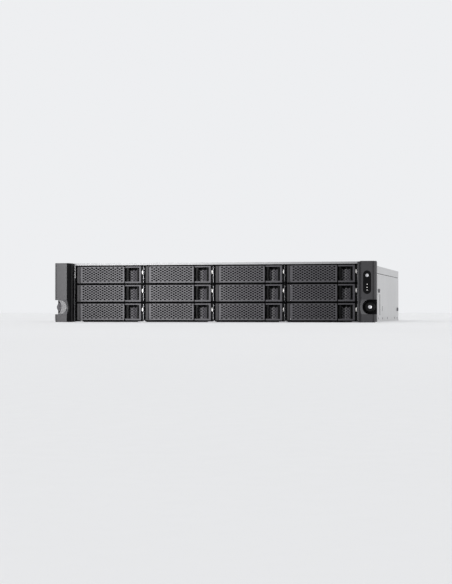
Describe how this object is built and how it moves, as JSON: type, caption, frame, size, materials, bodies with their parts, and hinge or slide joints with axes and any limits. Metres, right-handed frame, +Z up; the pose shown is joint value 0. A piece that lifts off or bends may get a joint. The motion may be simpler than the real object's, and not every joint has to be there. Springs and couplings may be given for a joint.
{
  "type": "rack storage server",
  "caption": "Two-unit rack-mount network storage server: a wide, flat steel case with a front grid of drive trays, each with a perforated lever and a finger recess, between two plastic ears.",
  "frame": {"origin": "on the underside, below the middle of the whole machine's outline", "axes": "+X to the machine's right seen from the front, +Y to the rear, +Z up; the drive trays face -Y"},
  "size_m": [0.4826, 0.563, 0.088],
  "materials": {
    "zinc_steel": "satin zinc-coated sheet",
    "bright_steel": "bright sheet",
    "dark_steel": "black satin coat",
    "screw_steel": "plain zinc",
    "psu_steel": "plain, stands for a mostly hollow steel case",
    "charcoal_plastic": "fine matt grain",
    "lever_plastic": "fine matt grain",
    "black_plastic": "matt",
    "black_knob": "black anodised, knurled",
    "gloss_black": "gloss",
    "button_metal": "fine satin",
    "board_green": "solder mask",
    "latch_orange": "matt"
  },
  "bodies": {
    "chassis": {"chassis_base": "zinc_steel", "front_top_cover": "zinc_steel", "drive_cage": "bright_steel", "left_ear_cover": "charcoal_plastic", "right_ear_cover": "charcoal_plastic", "rack_brackets": "dark_steel", "control_panel": "gloss_black", "fan_frames": "black_plastic", "backplane_board": "board_green", "main_board": "board_green", "rear_ports": "bright_steel", "slot_covers": "bright_steel", "fasteners": "screw_steel"},
    "rear_cover": {"rear_top_cover": "zinc_steel"},
    "tray_1": {"drive_tray_1": "charcoal_plastic"},
    "lever_1": {"tray_lever_1": "lever_plastic"},
    "latch_1": {"lever_latch_1": "black_plastic"},
    "tray_2": {"drive_tray_2": "charcoal_plastic"},
    "lever_2": {"tray_lever_2": "lever_plastic"},
    "latch_2": {"lever_latch_2": "black_plastic"},
    "tray_3": {"drive_tray_3": "charcoal_plastic"},
    "lever_3": {"tray_lever_3": "lever_plastic"},
    "latch_3": {"lever_latch_3": "black_plastic"},
    "tray_4": {"drive_tray_4": "charcoal_plastic"},
    "lever_4": {"tray_lever_4": "lever_plastic"},
    "latch_4": {"lever_latch_4": "black_plastic"},
    "tray_5": {"drive_tray_5": "charcoal_plastic"},
    "lever_5": {"tray_lever_5": "lever_plastic"},
    "latch_5": {"lever_latch_5": "black_plastic"},
    "tray_6": {"drive_tray_6": "charcoal_plastic"},
    "lever_6": {"tray_lever_6": "lever_plastic"},
    "latch_6": {"lever_latch_6": "black_plastic"},
    "tray_7": {"drive_tray_7": "charcoal_plastic"},
    "lever_7": {"tray_lever_7": "lever_plastic"},
    "latch_7": {"lever_latch_7": "black_plastic"},
    "tray_8": {"drive_tray_8": "charcoal_plastic"},
    "lever_8": {"tray_lever_8": "lever_plastic"},
    "latch_8": {"lever_latch_8": "black_plastic"},
    "tray_9": {"drive_tray_9": "charcoal_plastic"},
    "lever_9": {"tray_lever_9": "lever_plastic"},
    "latch_9": {"lever_latch_9": "black_plastic"},
    "tray_10": {"drive_tray_10": "charcoal_plastic"},
    "lever_10": {"tray_lever_10": "lever_plastic"},
    "latch_10": {"lever_latch_10": "black_plastic"},
    "tray_11": {"drive_tray_11": "charcoal_plastic"},
    "lever_11": {"tray_lever_11": "lever_plastic"},
    "latch_11": {"lever_latch_11": "black_plastic"},
    "tray_12": {"drive_tray_12": "charcoal_plastic"},
    "lever_12": {"tray_lever_12": "lever_plastic"},
    "latch_12": {"lever_latch_12": "black_plastic"},
    "fan_1": {"fan_rotor_1": "black_plastic"},
    "fan_2": {"fan_rotor_2": "black_plastic"},
    "fan_3": {"fan_rotor_3": "black_plastic"},
    "psu_1": {"psu_module_1": "psu_steel"},
    "psu_tab_1": {"psu_latch_1": "latch_orange"},
    "psu_2": {"psu_module_2": "psu_steel"},
    "psu_tab_2": {"psu_latch_2": "latch_orange"},
    "left_screw": {"left_thumbscrew": "black_knob"},
    "right_screw": {"right_thumbscrew": "black_knob"},
    "button": {"power_button": "button_metal"}
  },
  "joints": [
    {"name": "rear_cover_slide", "type": "slide", "parent": "chassis", "child": "rear_cover", "axis": [0, 1, 0], "range_m": [0, 0.015]},
    {"name": "tray_slide_1", "type": "slide", "parent": "chassis", "child": "tray_1", "axis": [0, -1, 0], "range_m": [0, 0.17]},
    {"name": "lever_hinge_1", "type": "hinge", "parent": "tray_1", "child": "lever_1", "pos_m": [-0.206, -0.26, 0.07055], "axis": [0, 0, -1], "range_deg": [0, 60]},
    {"name": "latch_slide_1", "type": "slide", "parent": "tray_1", "child": "latch_1", "axis": [1, 0, 0], "range_m": [0, 0.0025], "stiffness_N_per_m": 150},
    {"name": "tray_slide_2", "type": "slide", "parent": "chassis", "child": "tray_2", "axis": [0, -1, 0], "range_m": [0, 0.17]},
    {"name": "lever_hinge_2", "type": "hinge", "parent": "tray_2", "child": "lever_2", "pos_m": [-0.099, -0.26, 0.07055], "axis": [0, 0, -1], "range_deg": [0, 60]},
    {"name": "latch_slide_2", "type": "slide", "parent": "tray_2", "child": "latch_2", "axis": [1, 0, 0], "range_m": [0, 0.0025], "stiffness_N_per_m": 150},
    {"name": "tray_slide_3", "type": "slide", "parent": "chassis", "child": "tray_3", "axis": [0, -1, 0], "range_m": [0, 0.17]},
    {"name": "lever_hinge_3", "type": "hinge", "parent": "tray_3", "child": "lever_3", "pos_m": [0.008, -0.26, 0.07055], "axis": [0, 0, -1], "range_deg": [0, 60]},
    {"name": "latch_slide_3", "type": "slide", "parent": "tray_3", "child": "latch_3", "axis": [1, 0, 0], "range_m": [0, 0.0025], "stiffness_N_per_m": 150},
    {"name": "tray_slide_4", "type": "slide", "parent": "chassis", "child": "tray_4", "axis": [0, -1, 0], "range_m": [0, 0.17]},
    {"name": "lever_hinge_4", "type": "hinge", "parent": "tray_4", "child": "lever_4", "pos_m": [0.115, -0.26, 0.07055], "axis": [0, 0, -1], "range_deg": [0, 60]},
    {"name": "latch_slide_4", "type": "slide", "parent": "tray_4", "child": "latch_4", "axis": [1, 0, 0], "range_m": [0, 0.0025], "stiffness_N_per_m": 150},
    {"name": "tray_slide_5", "type": "slide", "parent": "chassis", "child": "tray_5", "axis": [0, -1, 0], "range_m": [0, 0.17]},
    {"name": "lever_hinge_5", "type": "hinge", "parent": "tray_5", "child": "lever_5", "pos_m": [-0.206, -0.26, 0.04285], "axis": [0, 0, -1], "range_deg": [0, 60]},
    {"name": "latch_slide_5", "type": "slide", "parent": "tray_5", "child": "latch_5", "axis": [1, 0, 0], "range_m": [0, 0.0025], "stiffness_N_per_m": 150},
    {"name": "tray_slide_6", "type": "slide", "parent": "chassis", "child": "tray_6", "axis": [0, -1, 0], "range_m": [0, 0.17]},
    {"name": "lever_hinge_6", "type": "hinge", "parent": "tray_6", "child": "lever_6", "pos_m": [-0.099, -0.26, 0.04285], "axis": [0, 0, -1], "range_deg": [0, 60]},
    {"name": "latch_slide_6", "type": "slide", "parent": "tray_6", "child": "latch_6", "axis": [1, 0, 0], "range_m": [0, 0.0025], "stiffness_N_per_m": 150},
    {"name": "tray_slide_7", "type": "slide", "parent": "chassis", "child": "tray_7", "axis": [0, -1, 0], "range_m": [0, 0.17]},
    {"name": "lever_hinge_7", "type": "hinge", "parent": "tray_7", "child": "lever_7", "pos_m": [0.008, -0.26, 0.04285], "axis": [0, 0, -1], "range_deg": [0, 60]},
    {"name": "latch_slide_7", "type": "slide", "parent": "tray_7", "child": "latch_7", "axis": [1, 0, 0], "range_m": [0, 0.0025], "stiffness_N_per_m": 150},
    {"name": "tray_slide_8", "type": "slide", "parent": "chassis", "child": "tray_8", "axis": [0, -1, 0], "range_m": [0, 0.17]},
    {"name": "lever_hinge_8", "type": "hinge", "parent": "tray_8", "child": "lever_8", "pos_m": [0.115, -0.26, 0.04285], "axis": [0, 0, -1], "range_deg": [0, 60]},
    {"name": "latch_slide_8", "type": "slide", "parent": "tray_8", "child": "latch_8", "axis": [1, 0, 0], "range_m": [0, 0.0025], "stiffness_N_per_m": 150},
    {"name": "tray_slide_9", "type": "slide", "parent": "chassis", "child": "tray_9", "axis": [0, -1, 0], "range_m": [0, 0.17]},
    {"name": "lever_hinge_9", "type": "hinge", "parent": "tray_9", "child": "lever_9", "pos_m": [-0.206, -0.26, 0.01515], "axis": [0, 0, -1], "range_deg": [0, 60]},
    {"name": "latch_slide_9", "type": "slide", "parent": "tray_9", "child": "latch_9", "axis": [1, 0, 0], "range_m": [0, 0.0025], "stiffness_N_per_m": 150},
    {"name": "tray_slide_10", "type": "slide", "parent": "chassis", "child": "tray_10", "axis": [0, -1, 0], "range_m": [0, 0.17]},
    {"name": "lever_hinge_10", "type": "hinge", "parent": "tray_10", "child": "lever_10", "pos_m": [-0.099, -0.26, 0.01515], "axis": [0, 0, -1], "range_deg": [0, 60]},
    {"name": "latch_slide_10", "type": "slide", "parent": "tray_10", "child": "latch_10", "axis": [1, 0, 0], "range_m": [0, 0.0025], "stiffness_N_per_m": 150},
    {"name": "tray_slide_11", "type": "slide", "parent": "chassis", "child": "tray_11", "axis": [0, -1, 0], "range_m": [0, 0.17]},
    {"name": "lever_hinge_11", "type": "hinge", "parent": "tray_11", "child": "lever_11", "pos_m": [0.008, -0.26, 0.01515], "axis": [0, 0, -1], "range_deg": [0, 60]},
    {"name": "latch_slide_11", "type": "slide", "parent": "tray_11", "child": "latch_11", "axis": [1, 0, 0], "range_m": [0, 0.0025], "stiffness_N_per_m": 150},
    {"name": "tray_slide_12", "type": "slide", "parent": "chassis", "child": "tray_12", "axis": [0, -1, 0], "range_m": [0, 0.17]},
    {"name": "lever_hinge_12", "type": "hinge", "parent": "tray_12", "child": "lever_12", "pos_m": [0.115, -0.26, 0.01515], "axis": [0, 0, -1], "range_deg": [0, 60]},
    {"name": "latch_slide_12", "type": "slide", "parent": "tray_12", "child": "latch_12", "axis": [1, 0, 0], "range_m": [0, 0.0025], "stiffness_N_per_m": 150},
    {"name": "fan_spin_1", "type": "hinge", "parent": "chassis", "child": "fan_1", "pos_m": [-0.118, -0.0575, 0.043], "axis": [0, 1, 0], "continuous": true},
    {"name": "fan_spin_2", "type": "hinge", "parent": "chassis", "child": "fan_2", "pos_m": [0, -0.0575, 0.043], "axis": [0, 1, 0], "continuous": true},
    {"name": "fan_spin_3", "type": "hinge", "parent": "chassis", "child": "fan_3", "pos_m": [0.118, -0.0575, 0.043], "axis": [0, 1, 0], "continuous": true},
    {"name": "psu_slide_1", "type": "slide", "parent": "chassis", "child": "psu_1", "axis": [0, 1, 0], "range_m": [0, 0.19]},
    {"name": "psu_latch_press_1", "type": "slide", "parent": "psu_1", "child": "psu_tab_1", "axis": [-1, 0, 0], "range_m": [0, 0.002], "stiffness_N_per_m": 300},
    {"name": "psu_slide_2", "type": "slide", "parent": "chassis", "child": "psu_2", "axis": [0, 1, 0], "range_m": [0, 0.19]},
    {"name": "psu_latch_press_2", "type": "slide", "parent": "psu_2", "child": "psu_tab_2", "axis": [-1, 0, 0], "range_m": [0, 0.002], "stiffness_N_per_m": 300},
    {"name": "left_thumbscrew_turn", "type": "hinge", "parent": "chassis", "child": "left_screw", "pos_m": [-0.23255, -0.2705, 0.0222], "axis": [0, 1, 0], "continuous": true},
    {"name": "right_thumbscrew_turn", "type": "hinge", "parent": "chassis", "child": "right_screw", "pos_m": [0.23255, -0.2705, 0.0222], "axis": [0, 1, 0], "continuous": true},
    {"name": "power_button_press", "type": "slide", "parent": "chassis", "child": "button", "axis": [0, 1, 0], "range_m": [0, 0.001], "stiffness_N_per_m": 400}
  ]
}
